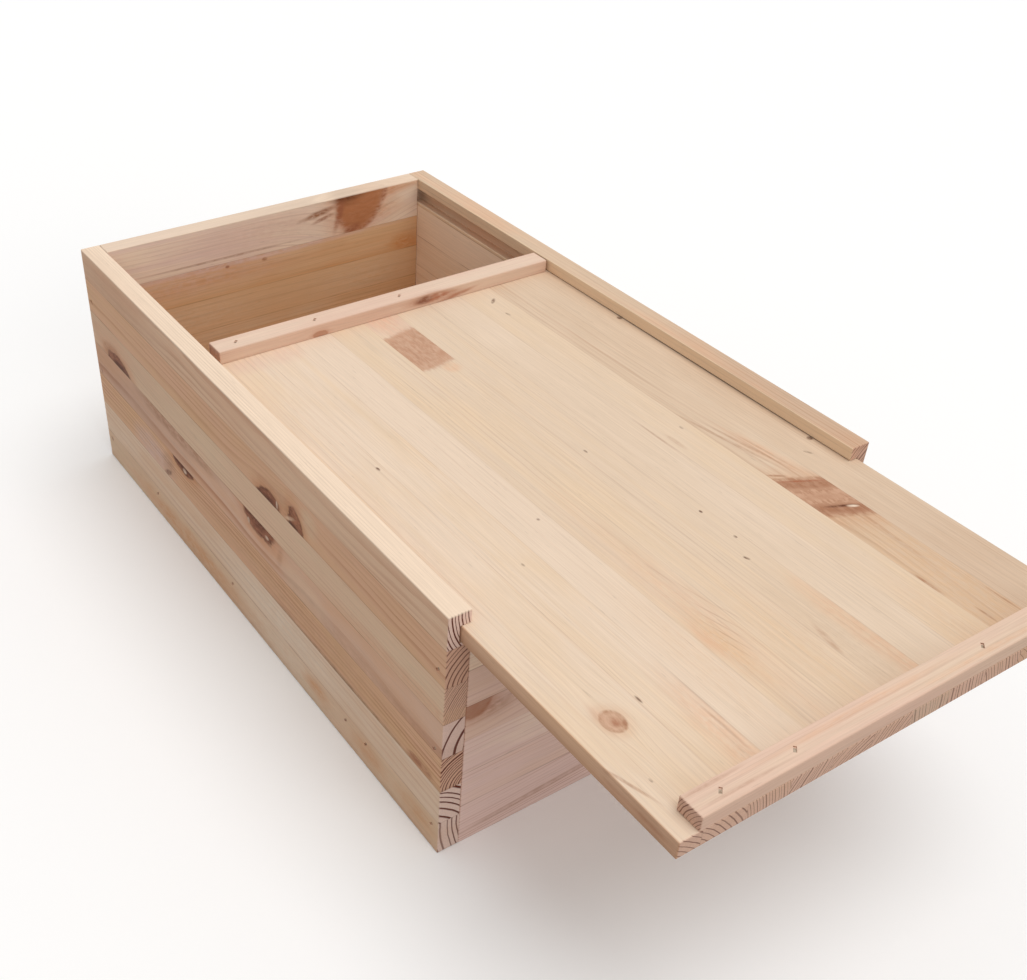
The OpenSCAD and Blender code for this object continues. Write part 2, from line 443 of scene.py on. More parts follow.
def make_glue_line(name):
    """Darkens the wood in a thin broken line beside a glued joint."""
    w, given, out = new_group(
        name,
        {
            "Colour": "colour", "Across": "value", "Joint": "value", "Along": "value",
            "Amount": "value",
        },
        {"Colour": "colour"},
    )
    gap = w.maths("ABSOLUTE", w.maths("SUBTRACT", given["Across"], given["Joint"]))
    line = w.step(gap, 0.05, 0.45, 1.0, 0.0)
    broken = w.noise(w.join(w.maths("MULTIPLY", given["Along"], 0.03), given["Joint"], 0.0), 3.0)
    amount = w.maths("MULTIPLY", line, w.step(broken, 0.35, 0.65, 0.25, 1.0))
    dark = w.mix(1.0, given["Colour"], GLUE_STAIN, "MULTIPLY")
    w.feed(out["Colour"], w.mix(w.maths("MULTIPLY", amount, given["Amount"]), given["Colour"], dark))


# What a board shows is told strip by strip. Every place is (along the grain, side, up).
# The faces that most marks lie on: the left side's and the front board's outer faces, the back
# board's inner face and the lid's top. LID_EDGE is a millimetre off the lid's left edge.
LEFT = -125
FRONT = -200
BACK = 188
LID = 143
LID_EDGE = -119.2


def strip(
    tone, pith, ring, bold=0.5, end_bold=0.8, late=0.3, wander=2.0, lean=(0.0, 0.0), warm="tan",
    end="end_early", marks=(),
):
    """The wood of one strip: its pith (side, up), beside or in it, and the width of its years.

    bold and end_bold are the strength of the years' dark lines on a long face and on an end,
    late is a line's share of its year, wander is how far the years stray, and lean is how far
    the pith moves (side, up) in a millimetre along the strip.
    """
    return dict(
        tone=tone, pith=pith, ring=ring, bold=bold, end_bold=end_bold, late=late, wander=wander,
        lean=lean, warm=warm, end=end, marks=marks,
    )


def knot(
    at, size, turn=0.0, ragged=0.25, bend=0.7, strength=1.0, core="knot", rim="bark", halo="amber",
):
    return dict(
        kind="knot", at=at, size=size, turn=turn, ragged=ragged, bend=bend, strength=strength,
        core=core, rim=rim, halo=halo,
    )


def patch(at, size, tone, amount=0.5, soft=0.6, turn=0.0, ragged=0.3, bend=0.0):
    """A stained area, or an area of painted shade or painted light; soft is the share of its size over
    which it fades.
    """
    return dict(
        kind="patch", at=at, size=size, tone=tone, amount=amount, soft=soft, turn=turn,
        ragged=ragged, bend=bend,
    )


def fleck(at, size, turn=0.0, amount=0.8, tone="bark"):
    return patch(at, size, tone, amount, soft=0.5, turn=turn, ragged=0.35)


def lid_line(along, side, reach, amount, turn):
    """A thin brown line of the lid's grain."""
    return patch(
        (along, side, LID), (reach, 0.4, 3), "umber", amount, soft=0.9, turn=turn, ragged=0.1
    )


LEFT_SIDE = (
    strip("oat", (-85, 152), 1.7, 0.5, 1.3, 0.5, end="end_pale", marks=(
        patch((0, -119, 150.6), (400, 20, 1.6), "cream", 0.9, soft=0.2, ragged=0.0),
        # Painted shade: umber darkening the back end of the left side's outer face, where the light
        # falls off
        patch((170, LEFT, 134), (110, 9, 18), "umber", 0.28, soft=0.9, ragged=0.1),
    )),
    strip("tan", (-100, 105), 2.5, 0.6, 1.0, 0.5, warm="honey", marks=(
        patch((-82, LEFT, 122), (9, 9, 8), "straw", 0.5),
        patch((-52, LEFT, 116), (26, 9, 9), "umber", 0.3, ragged=0.5),
        knot((-40, LEFT, 108.5), (12, 9, 8), ragged=0.35, strength=0.9),
        patch((-38, LEFT, 108.5), (12, 9, 4.5), "bark", 1.0, soft=0.4, ragged=0.25),
        fleck((-49, LEFT, 112.5), (1.0, 4, 2.6), tone="cream"),
        knot((-69, LEFT, 109.5), (7.5, 9, 12.5), ragged=0.35, bend=0.5, strength=0.85, turn=-16),
        patch((-65, LEFT, 109), (7, 9, 2.8), "bark", 0.95, soft=0.4, ragged=0.25),
        patch((-62, LEFT, 112.5), (6, 9, 1.2), "oat", 0.8, turn=-25),
    )),
    strip("oat", (-60, 60), 1.2, 0.3, 0.9, 0.4, warm="straw", marks=(
        patch((-190, LEFT, 86), (110, 20, 11), "tan", 0.7, soft=0.3),
        # Painted shade: umber darkening the back end of the left side's outer face, where the light
        # falls off
        patch((170, LEFT, 100), (100, 9, 14), "umber", 0.2, soft=0.9, ragged=0.1),
        patch((168, LEFT, 96), (34, 9, 16), "tan", 0.7),
        patch((168, LEFT, 92), (20, 9, 8), "umber", 0.4, ragged=0.5),
        knot((161, LEFT, 87.5), (17, 9, 7.5), ragged=0.35, strength=0.9),
        patch((156, LEFT, 87), (13, 9, 5), "bark", 1.0, soft=0.4, ragged=0.25),
    )),
    strip("tan", (-95, 64), 6.5, 0.7, 1.0, 0.22, warm="rose", end="end_pale", marks=(
        patch((-74, LEFT, 73), (25, 9, 10), "oat", 0.6, soft=0.35, ragged=0.1),
        # Painted shade: umber darkening the back end of the left side's outer face, where the light
        # falls off
        patch((170, LEFT, 76), (110, 9, 20), "umber", 0.32, soft=0.9, ragged=0.1),
        patch((-49, LEFT, 79), (3, 9, 8), "knot", 0.25, turn=20),
        patch((-140, LEFT, 67), (90, 20, 9), "umber", 0.25),
        knot((-26, LEFT, 87.5), (17, 9, 9.5), ragged=0.35, strength=0.9),
        patch((-23, LEFT, 88), (13, 9, 6), "bark", 0.9, soft=0.5, ragged=0.35),
        fleck((-14, LEFT, 81), (1.6, 4, 1.9), tone="cream"),
        fleck((-35, LEFT, 82.5), (2.0, 4, 1.3), tone="cream"),
        patch((78, LEFT, 85), (60, 20, 6), "umber", 0.55, soft=0.4),
    )),
    strip("tan", (-108, 42), 1.8, 0.7, 1.4, 0.6, warm="honey", marks=(
        patch((118, LEFT, 50), (30, 20, 13), "blush", 0.6),
        patch((-60, LEFT, 55), (140, 30, 13), "umber", 0.15),
        patch((-112, LEFT, 44), (86, 20, 2.2), "bark", 0.5, ragged=0.7),
        patch((-182, LEFT, 47), (11, 9, 3.5), "knot", 0.7, soft=0.4, ragged=0.5),
        knot((72, LEFT, 65.5), (14, 8, 5.5), ragged=0.35, strength=0.9),
        patch((72, LEFT, 65.5), (14, 9, 3), "bark", 1.0, soft=0.3, ragged=0.25),
        fleck((70, LEFT, 62.5), (2.8, 4, 1.7), tone="cream"),
        patch((94, LEFT, 53), (11, 6, 8), "umber", 0.4, ragged=0.7),
        patch((97, LEFT, 46), (7, 6, 2.0), "bark", 0.8, turn=-30),
    )),
    strip("oat", (-150, -5), 3.5, 0.4, 1.2, 0.45, warm="cream", end="end_pale", marks=(
        patch((-45, LEFT, 32), (80, 9, 16), "cream", 0.95, soft=0.8, ragged=0.2),
    )),
    strip("oat", (-60, 20), 3.4, 0.4, 0.9, 0.4, warm="straw", end="end_pale", marks=(
        patch((-45, LEFT, 14), (60, 9, 16), "cream", 0.6, soft=0.8, ragged=0.2),
        patch((74, LEFT, 9), (88, 20, 9), "amber", 0.5, ragged=0.6),
        patch((-84, LEFT, 13), (15, 20, 7), "amber", 0.6, soft=0.8, ragged=0.7),
        patch((-137, LEFT, 12), (16, 20, 8), "amber", 0.5, soft=0.8, ragged=0.7),
        patch((-182, LEFT, 12), (20, 20, 8), "amber", 0.45, soft=0.8, ragged=0.7),
    )),
)

RIGHT_SIDE = (
    strip("dune", (150, 120), 1.9, 0.4, 0.9, 0.35, marks=(
        patch((-200, 119, 151), (150, 20, 4), "umber", 0.25, ragged=0.0),
        # Painted light: paler straw over the inner faces of the right side's top strip, lifting the
        # shade inside the box
        patch((0, 112.4, 147), (500, 1.2, 40), "straw", 0.9, soft=0.2, ragged=0.0),
        # Painted shadow: a dark line along the foot of the right lip's inner face, where the lip meets
        # the lid
        patch((-80, 113, 142.6), (130, 3, 0.9), "bark", 1.0, soft=0.4, ragged=0.0),
    )),
    strip("cream", (105, 80), 2.2, 0.1, warm="cream"),
    strip("cream", (140, 60), 1.6, 0.1, warm="straw"),
    strip("cream", (95, 110), 3.2, 0.15, warm="straw"),
    strip("rose", (112, 50), 2.4, marks=(
        knot((60, 125, 54), (11, 9, 9), core="umber"),
    )),
    strip("straw", (150, 70), 2.9, 0.45, warm="honey"),
    strip("oat", (80, 0), 3.6, 0.5, warm="amber"),
)

FRONT_BOARD = (
    strip("cream", (-180, 160), 1.6, 0.4),
    strip("rose", (-194, 70), 3.0, 0.35, warm="blush"),
    strip("rose", (-150, 60), 2.0, 0.35, warm="blush", marks=(
        patch((-98, FRONT, 86), (18, 7, 8), "umber", 0.5, soft=0.8),
        knot((-108, FRONT, 92.5), (9, 7, 9), strength=0.7, core="umber", rim="knot", halo="tan"),
    )),
    strip("blush", (-230, 30), 2.6, 0.45, warm="cream"),
    strip("blush", (-190, 90), 2.4, 0.5, warm="rose"),
    strip("blush", (-205, -20), 2.2, 0.7, lean=(0.0, 0.05), warm="blush", marks=(
        patch((-60, FRONT, 10), (60, 20, 2.5), "umber", 0.4, turn=4),
    )),
)

BACK_BOARD = (
    strip("cream", (194, 60), 3.0, 0.35, warm="blush", marks=(
        patch((100, BACK, 149), (26, 20, 5), "amber", 0.6, soft=0.9, turn=8, ragged=0.1),
        patch((92, BACK, 134), (16, 20, 7), "oat", 0.6),
        patch((0, BACK, 140), (60, 9, 14), "rose", 0.7, soft=0.9, ragged=0.5),
        patch((-35, BACK, 127.5), (66, 20, 0.9), "umber", 0.5, ragged=0.6),
        patch((34, BACK, 142), (16, 20, 2.2), "umber", 0.9, turn=10, ragged=0.6),
        patch((38, BACK, 138), (9, 20, 1.4), "knot", 0.7, turn=14, ragged=0.6),
        knot((69, BACK, 152), (18.5, 14, 28), ragged=0.12, bend=0.8, core="heart", rim="knot", turn=-19),
        patch((67, BACK, 148), (17, 14, 25), "amber", 0.8, soft=0.3, turn=-19, ragged=0.05),
        patch((66, BACK, 148), (18, 14, 26), "knot", 0.6, soft=0.3, turn=-19, ragged=0.05),
        patch((60, BACK, 153), (14, 14, 9), "bark", 0.6, soft=0.8, turn=20, ragged=0.2),
        patch((51, BACK, 140), (2.6, 20, 14), "knot", 0.9, turn=-19, soft=0.8),
        patch((60, BACK, 126), (7, 20, 3), "knot", 0.9, turn=20),
        patch((56, BACK, 150), (12, 20, 4), "bark", 0.7, soft=0.8),
        patch((0, 195, 150.6), (400, 20, 1.6), "biscuit", 0.8, soft=0.2, ragged=0.0),
    )),
    strip("honey", (160, 90), 2.0, 0.2, warm="amber", marks=(
        patch((-60, BACK, 118), (90, 20, 12), "rose", 0.5, soft=0.9),
        patch((-20, BACK, 123.5), (110, 20, 3), "blush", 0.7, ragged=0.5),
        fleck((-34, BACK, 121), (1.8, 4, 1.2), tone="knot"),
        fleck((-7, BACK, 120), (2.0, 4, 1.2), tone="knot"),
        patch((102, BACK, 107), (14, 20, 7), "amber", 0.8, ragged=0.6),
    )),
    strip("honey", (230, 70), 2.4, 0.15, warm="honey", marks=(
        # Painted light: paler straw over the back board's inner face, lifting the shade in the box's
        # inside corner
        patch((-80, BACK, 90), (80, 20, 16), "straw", 0.6, soft=0.9),
        patch((70, BACK, 90), (60, 20, 16), "straw", 0.4, soft=0.9),
    )),
    strip("honey", (190, 20), 2.8, 0.25, warm="straw"),
    strip("honey", (150, 90), 2.0, 0.35, warm="amber"),
    strip("honey", (220, 0), 2.2, 0.35, warm="amber"),
    strip("honey", (190, -30), 2.6, 0.35, warm="amber"),
)

# Of the bottom's strips, taken in turn: tone, pith's distance aside and height, year's width
BOTTOM_WOOD = (
    ("straw", 30, -20, 2.0),
    ("honey", -24, 40, 2.6),
    ("tan", 12, -4, 3.4),
    ("straw", -40, 50, 1.8),
    ("tan", 20, -12, 2.4),
)
BOTTOM_STRIPS = 10
# A place in the first strip, and the step from it to one in the next
FIRST_STRIP = -105
STRIP_WIDTH = 22


def bottom_strip(i):
    tone, aside, height, ring = BOTTOM_WOOD[i % len(BOTTOM_WOOD)]
    return strip(tone, (FIRST_STRIP + STRIP_WIDTH * i + aside, height), ring, warm="honey")


BOTTOM_BOARD = tuple(bottom_strip(i) for i in range(BOTTOM_STRIPS))

LID_PANEL = (
    strip("biscuit", (-160, 80), 2.2, 0.15, warm="straw", marks=(
        # Partly the wood's own warm tone, partly painted shade: amber darkening the lid's left edge face
        patch((-200, LID_EDGE, 137), (500, 1.6, 60), "amber", 0.45, soft=0.3, ragged=0.0),
        # Painted shade: a darker umber band along the lower part of the lid's left edge face
        patch((-200, LID_EDGE, 132), (230, 1.6, 7.5), "umber", 0.7, soft=0.5, ragged=0.1),
        patch((-326, LID_EDGE, 137), (46, 1.6, 12), "umber", 0.6, soft=0.9, ragged=0.2),
        patch((-312, LID_EDGE, 138), (24, 1.6, 1.5), "knot", 0.6, ragged=0.5),
        patch((-302, -115.5, LID), (14, 0.8, 3), "umber", 0.5, turn=16),
        fleck((-305, -107.5, LID), (1.2, 0.6, 2), amount=0.4),
    )),
    strip("biscuit", (-130, 110), 2.4, 0.15, warm="straw", marks=(
        patch((34, -96, LID), (9, 16, 9), "rose", 0.6),
        knot((-275, -100, LID), (6.2, 4.9, 20), ragged=0.12, strength=0.65, core="heart",
             rim="umber", halo="tan"),
        patch((-269, -103, LID), (7, 3, 9), "heart", 0.35, soft=0.9, ragged=0.2),
        patch((-276, -99.7, LID), (3.0, 2.4, 9), "knot", 0.6, soft=0.7, ragged=0.2),
        patch((-278, -96.8, LID), (2.2, 1.0, 9), "umber", 0.8, turn=-30, ragged=0.1),
        fleck((-85.5, -88, LID), (1.8, 0.8, 2)),
    )),
    strip("biscuit", (-140, 120), 1.5, 0.16, wander=1.2, warm="straw", marks=(
        patch((34, -74, LID), (9, 14, 9), "rose", 0.6),
        fleck((-181, -72.5, LID), (1.4, 0.7, 2), amount=0.4),
        patch((-271, -84, LID), (2.4, 0.6, 3), "bark", 0.8, soft=0.7, ragged=0.1),
        patch((-306, -68, LID), (44, 9, 9), "tan", 0.5, ragged=0.5),
        patch((-298, -65.8, LID), (15, 0.8, 3), "umber", 0.35, soft=0.9, ragged=0.2),
        patch((-286, -63.4, LID), (22, 0.5, 3), "umber", 0.25, soft=0.9, ragged=0.1),
    )),
    strip("biscuit", (-140, 180), 1.8, 0.12, warm="biscuit", marks=(
        fleck((-158, -46.7, LID), (1.0, 0.8, 2), amount=0.5),
        patch((-270, -48, LID), (60, 12, 9), "honey", 0.2, soft=0.9),
    )),
    strip("sand", (10, 90), 2.2, 0.22, late=0.25, warm="straw", marks=(
        patch((-245, -30, LID), (90, 12, 9), "tan", 0.35, soft=0.9, ragged=0.5),
        patch((-266, -33, LID), (24, 6, 9), "honey", 0.5, soft=0.9, ragged=0.6),
        patch((-260, -37.5, LID), (12, 3.5, 9), "tan", 0.6, soft=0.9, ragged=0.2),
        lid_line(-217, -25.3, 12, 0.2, turn=6),
        lid_line(-236, -21.5, 13, 0.22, turn=10),
        lid_line(-250, -23.6, 12, 0.35, turn=14),
        lid_line(-256, -26.2, 12, 0.3, turn=13),
        lid_line(-262, -28.6, 13, 0.35, turn=12),
        lid_line(-268, -31, 12, 0.25, turn=11),
    )),
    strip("sand", (70, 90), 2.1, 0.15, warm="straw", marks=(
        patch((-280, -8, LID), (60, 14, 9), "honey", 0.25, soft=0.9),
        lid_line(-250, -18, 12, 0.2, turn=14),
        patch((36, -8, LID), (20, 14, 9), "rose", 0.9),
        patch((36, -8, LID), (18, 10, 9), "tan", 0.4, ragged=0.6),
        patch((-24, -3, LID), (6, 5, 9), "tan", 0.6, turn=20, ragged=0.5),
        patch((2, -8, LID), (21, 70, 20), "heart", 0.95, soft=0.12, ragged=0.12, turn=10),
        patch((2, -8, LID), (21, 70, 20), "umber", 0.3, soft=0.3, ragged=0.5, turn=10),
    )),
    strip("sand", (-60, 120), 1.8, 0.12, warm="straw", marks=(
        patch((-300, 14, LID), (60, 40, 20), "dune", 0.6),
        patch((-292, 22, LID), (46, 7, 9), "tan", 0.5, ragged=0.5),
        fleck((-125.5, 7.3, LID), (1.6, 0.7, 2), amount=0.6),
        fleck((-192.5, 21.5, LID), (1.2, 0.7, 2)),
        fleck((-215, 21.8, LID), (1.2, 0.7, 2)),
        fleck((-229, 15, LID), (1.8, 0.8, 2), turn=20),
        patch((-285, 5.5, LID), (10, 1.6, 3), "umber", 0.4, turn=-10),
    )),
    strip("sand", (120, 160), 2.0, 0.1, warm="biscuit", marks=(
        patch((-134, 46.6, LID), (18, 0.8, 3), "umber", 0.4, ragged=0.5),
    )),
    strip("sand", (-30, 100), 1.7, 0.1, warm="straw", marks=(
        patch((-142, 51.5, LID), (9, 1.4, 3), "umber", 0.25, ragged=0.5),
        patch((-305, 58, LID), (40, 12, 9), "honey", 0.3, soft=0.9),
        fleck((-134, 62.7, LID), (1.6, 0.7, 2), amount=0.4),
        fleck((27, 61, LID), (3.6, 1.1, 2), turn=-45),
        fleck((9.5, 59, LID), (2.4, 0.8, 2), turn=10, amount=0.5),
    )),
    strip("dune", (58, 126), 2.0, 0.3, warm="sand", marks=(
        patch((-214, 68, LID), (34, 11, 20), "sand", 0.0, bend=0.85),
        patch((-300, 80, LID), (100, 30, 20), "honey", 0.4),
        patch((-285, 90, LID), (75, 40, 20), "umber", 0.1, soft=0.9, ragged=0.0),
        patch((-172, 83, LID), (26, 5, 9), "tan", 0.5, turn=8, ragged=0.6),
        patch((-155, 74.5, LID), (36, 1.1, 3), "umber", 0.4, turn=10),
        patch((-163, 79.5, LID), (30, 1.1, 3), "umber", 0.4, turn=9),
        patch((-172, 84, LID), (22, 0.9, 3), "umber", 0.35, turn=6),
        patch((-250, 84, LID), (30, 1.0, 3), "umber", 0.3, turn=-3),
        patch((-283, 69.8, LID), (9, 0.9, 3), "umber", 0.7),
        patch((-310, 74.6, LID), (6, 0.8, 3), "umber", 0.6),
        patch((-306, 89.6, LID), (11, 0.8, 3), "umber", 0.5),
        knot((-214, 80, LID), (15.5, 60, 20), turn=-27, ragged=0.1, bend=0.0, strength=0.85,
             core="heart", rim="umber", halo="tan"),
        patch((-203, 80, LID), (3.6, 30, 9), "umber", 0.8, turn=-27, ragged=0.15),
        patch((-225, 80, LID), (4.2, 30, 9), "umber", 0.9, turn=-27, ragged=0.15),
        patch((-199.5, 80, LID), (0.8, 14, 4), "knot", 0.9, turn=-27),
        patch((-190, 73, LID), (0.9, 5, 4), "umber", 0.7, turn=-35, ragged=0.2),
        patch((-224, 82, LID), (1.1, 9, 4), "bark", 0.8, turn=-24, ragged=0.4),
        patch((-226.5, 86, LID), (1.0, 3.0, 4), "cream", 0.9, turn=-30, ragged=0.1),
    )),
    strip("dune", (20, 170), 2.0, 0.15, warm="sand", marks=(
        # Painted shade: dark flecks where the right lip's edge has two small notches
        fleck((-27.5, 112, LID), (1.8, 1.8, 2)),
        fleck((-175, 112, LID), (1.8, 1.8, 2)),
        fleck((-183.5, 101.5, LID), (2.6, 0.9, 2), amount=0.5, turn=30),
        patch((-285, 90, LID), (75, 40, 20), "umber", 0.14, soft=0.9, ragged=0.0),
    )),
)

BATTEN = strip("rose", (30, 152), 1.3, 0.2, warm="biscuit", marks=(
    # Painted shade: umber darkening the whole front face of the batten
    patch((0, 41.4, 146), (400, 1.3, 20), "umber", 0.28, soft=0.3, ragged=0.0),
    patch((29, 42, 147), (20, 5, 3.4), "knot", 0.8),
    patch((44, 42, 144.5), (16, 5, 1.4), "knot", 0.7, turn=8),
    patch((22, 42, 147), (6, 5, 2.4), "bark", 0.5, ragged=0.6),
    knot((-47, 42, 144), (5, 3, 2.4), core="umber", rim="knot", strength=0.6, ragged=0.5),
))
HANDLE_BAR = strip("rose", (-340, 140), 1.5, 0.2, warm="sand", marks=(
    # Painted shade: umber darkening the whole front face of the handle bar
    patch((0, -332.6, 146), (400, 1.3, 20), "umber", 0.2, soft=0.3, ragged=0.0),
    # Painted shade: umber and bark darkening the handle bar's left end face, which lies in shade
    patch((-114, -326, 146), (3, 12, 12), "umber", 0.9, soft=0.4, ragged=0.1),
    patch((-115, -326, 146), (3, 12, 12), "bark", 0.3, soft=0.4, ragged=0.1),
    patch((-98, -321.5, 150.5), (16, 1.2, 3), "umber", 0.35, ragged=0.5),
    patch((-84, -328.5, 150.5), (24, 1.0, 3), "umber", 0.3, ragged=0.5),
    patch((-20, -324, 150.5), (60, 1.6, 3), "tan", 0.5, ragged=0.6),
    patch((50, -329, 150.5), (50, 1.4, 3), "tan", 0.5, ragged=0.6),
))

# Grain directions: the object's axes in the order along, side, up, and the last two's places
ALONG_Y = (1, 0, 2)
ALONG_X = (0, 1, 2)
SIDE, UP = 1, 2

STEEL_NODES = (
    "front_corner_brads",
    "back_corner_brads",
    "bottom_side_brads",
    "bottom_end_brads",
    "batten_brads",
    "handle_bar_brads",
)


def pine_material(name, spec, order, stack, seed, joints, glue):
    """Pine for one strip. Its joints lie at these places along the stack axis."""
    made = bpy.data.materials.new(name)
    made.use_nodes = True
    made.node_tree.nodes.clear()
    w = Wiring(made.node_tree)
    tones = wood()

    coordinates = w.put("ShaderNodeTexCoord").outputs
    metres = w.split(coordinates["Object"])
    own_place = w.scaled(w.join(*(metres[axis] for axis in order)), 1 / MM, 1 / MM, 1 / MM)
    end = w.maths("ABSOLUTE", w.split(coordinates["Normal"])[order[0]])

    flat_axis = SIDE if stack == UP else UP
    place = own_place
    spots = []
    for mark in spec["marks"]:
        turn = [0.0, 0.0, 0.0]
        turn[flat_axis] = math.radians(mark["turn"])
        spot = w.group(make_spot_reach, own_place, mark["at"], mark["size"], turn, mark["ragged"])
        spots.append((spot["Reach"], spot["Mottle"]))
        if mark["bend"]:
            place = w.group(make_bent_grain, place, mark["at"], mark["size"], mark["bend"])["Place"]

    grain = w.group(
        make_pine_grain, place, end, (0.0, *spec["pith"]), (0.0, *spec["lean"]), spec["ring"],
        spec["wander"], seed, spec["bold"], spec["end_bold"], spec["late"],
        getattr(tones, spec["tone"]), getattr(tones, spec["warm"]), tones.late,
        getattr(tones, spec["end"]), tones.end_late,
    )
    shown = grain["Colour"]
    for mark, (reach, mottle) in zip(spec["marks"], spots):
        if mark["kind"] == "knot":
            paints = [getattr(tones, mark[part]) for part in ("core", "rim", "halo")]
            painted = w.group(make_knot_wood, shown, reach, mottle, *paints, mark["strength"])
        else:
            tint = getattr(tones, mark["tone"])
            # The more ragged a patch is, the more mottled
            mottled = min(1.0, 3 * mark["ragged"])
            painted = w.group(
                make_tinted_patch, shown, reach, mottle, tint, grain["Shade"],
                mark["amount"], mark["soft"], mottled,
            )
        shown = painted["Colour"]
    sides = w.split(own_place)
    for joint in joints:
        shown = w.group(make_glue_line, shown, sides[stack], joint, sides[0], glue)["Colour"]

    height = grain["Height"]
    bump = w.put("ShaderNodeBump")
    bump.inputs["Strength"].default_value = 0.5
    bump.inputs["Distance"].default_value = tones.relief
    w.feed(bump.inputs["Height"], height)
    surface = w.put("ShaderNodeBsdfPrincipled")
    w.feed(surface.inputs["Base Color"], shown)
    w.feed(surface.inputs["Roughness"], w.spread(height, 0.70, 0.52))
    surface.inputs["Specular IOR Level"].default_value = 0.15
    w.feed(surface.inputs["Normal"], bump.outputs["Normal"])
    output = w.put("ShaderNodeOutputMaterial")
    w.feed(output.inputs["Surface"], surface.outputs["BSDF"])
    return made


def steel_material():
    """Bare steel with dull spots, for the brads."""
    made = bpy.data.materials.new("Brad steel")
    made.use_nodes = True
    w = Wiring(made.node_tree)
    surface = made.node_tree.nodes["Principled BSDF"]
    metres = w.put("ShaderNodeTexCoord").outputs["Object"]
    place = w.scaled(metres, STEEL_SPOTS, STEEL_SPOTS, STEEL_SPOTS)
    spots = w.step(w.noise(place, 4.0, 0.6), 0.4, 0.65)
    w.feed(surface.inputs["Base Color"], w.mix(spots, steel().bright, steel().dull))
    w.feed(surface.inputs["Roughness"], w.spread(spots, 0.35, 0.6))
    surface.inputs["Metallic"].default_value = 1.0
    return made


def on_face(edge_points, lows, highs, axis):
    """True if the points lie on the lower or upper face of the box across that axis."""
    return any(
        all(abs(point[axis] - limit) < SLACK for point in edge_points)
        for limit in (lows[axis], highs[axis])
    )


def select_only(piece):
    bpy.ops.object.select_all(action="DESELECT")
    piece.select_set(True)
    bpy.context.view_layer.objects.active = piece


def planed_copy(node, lows, highs, extra_edges=lambda points: False):
    """A new piece with the merged mesh of a node, its board's own outer edges sanded."""
    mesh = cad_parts[node].data.copy()
    mesh.materials.clear()
    piece = bpy.data.objects.new(node + "_planed", mesh)
    mesh.name = piece.name
    bpy.context.scene.collection.objects.link(piece)
    select_only(piece)
    bpy.context.tool_settings.mesh_select_mode = (False, True, False)
    bpy.ops.object.mode_set(mode="EDIT")
    bpy.ops.mesh.select_all(action="SELECT")
    bpy.ops.mesh.remove_doubles(threshold=MERGE)
    bpy.ops.mesh.dissolve_limited(angle_limit=FLAT)
    bpy.ops.mesh.select_all(action="DESELECT")
    bpy.ops.object.mode_set(mode="OBJECT")
    for edge in mesh.edges:
        points = [mesh.vertices[v].co for v in edge.vertices]
        faces = sum(on_face(points, lows, highs, axis) for axis in range(3))
        edge.select = faces >= 2 or extra_edges(points)
    bpy.ops.object.mode_set(mode="EDIT")
    bpy.ops.mesh.bevel(offset=wood().edge_ease, segments=2, profile=0.5, affect="EDGES")
    bpy.ops.object.mode_set(mode="OBJECT")
    return piece


def board_bounds(names):
    """Lowest and highest corner of the board that these nodes make up."""
    boxes = [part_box(name) for name in names]
    lows = [min(low[axis] for low, high in boxes) for axis in range(3)]
    highs = [max(high[axis] for low, high in boxes) for axis in range(3)]
    return lows, highs


def dress(piece, node, body, material):
    piece.data.materials.append(material)
    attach(piece, body)
    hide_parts(node)


def lay_board(
    board, body, order, stack, specs, seed, glue, extra_edges=lambda points: False
):
    """Planes every strip of a board and gives each its own wood."""
    names = [f"{board}_strip_{i}" for i in range(1, len(specs) + 1)]
    lows, highs = board_bounds(names)
    stack_axis = order[stack]
    for i, (name, spec) in enumerate(zip(names, specs)):
        low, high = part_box(name)
        piece = planed_copy(name, lows, highs, extra_edges)
        joints = [
            place[stack_axis] / MM
            for place in (low, high)
            if lows[stack_axis] + MM < place[stack_axis] < highs[stack_axis] - MM
        ]
        material = pine_material(
            name + "_pine", spec, order, stack, seed + SEED_STEP * i, joints, glue
        )
        dress(piece, name, body, material)


def groove_mouth(points):
    """True for the edges where a side board's groove opens into the box."""
    groove_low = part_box("front_board_strip_1")[1].z
    inner = abs(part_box("front_board_strip_1")[0].x)
    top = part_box("left_side_strip_1")[1].z
    on_wall = all(abs(abs(point.x) - inner) < SLACK for point in points)
    level = abs(points[0].z - points[1].z) < SLACK
    return on_wall and level and groove_low - SLACK < points[0].z < top - SLACK


class PINEBOX_OT_side_boards(bpy.types.Operator):
    """Planes the two grooved side boards"""

    bl_idname = "pinebox.side_boards"
    bl_label = "Side boards"

    def execute(self, context):
        sides = (("left_side", LEFT_SIDE, 11.0), ("right_side", RIGHT_SIDE, 83.0))
        for board, specs, seed in sides:
            lay_board(
                board, "box", ALONG_Y, UP, specs, seed=seed, glue=0.6,
                extra_edges=groove_mouth,
            )
        return {"FINISHED"}


class PINEBOX_OT_end_boards(bpy.types.Operator):
    """Planes the low front board and the full back board"""

    bl_idname = "pinebox.end_boards"
    bl_label = "End boards"

    def execute(self, context):
        lay_board("front_board", "box", ALONG_X, UP, FRONT_BOARD, seed=151.0, glue=0.5)
        lay_board("back_board", "box", ALONG_X, UP, BACK_BOARD, seed=211.0, glue=0.4)
        return {"FINISHED"}


class PINEBOX_OT_bottom_board(bpy.types.Operator):
    """Planes the bottom board inside the four walls"""

    bl_idname = "pinebox.bottom_board"
    bl_label = "Bottom board"

    def execute(self, context):
        lay_board(
            "bottom_board", "box", ALONG_Y, SIDE, BOTTOM_BOARD, seed=307.0, glue=0.5
        )
        return {"FINISHED"}


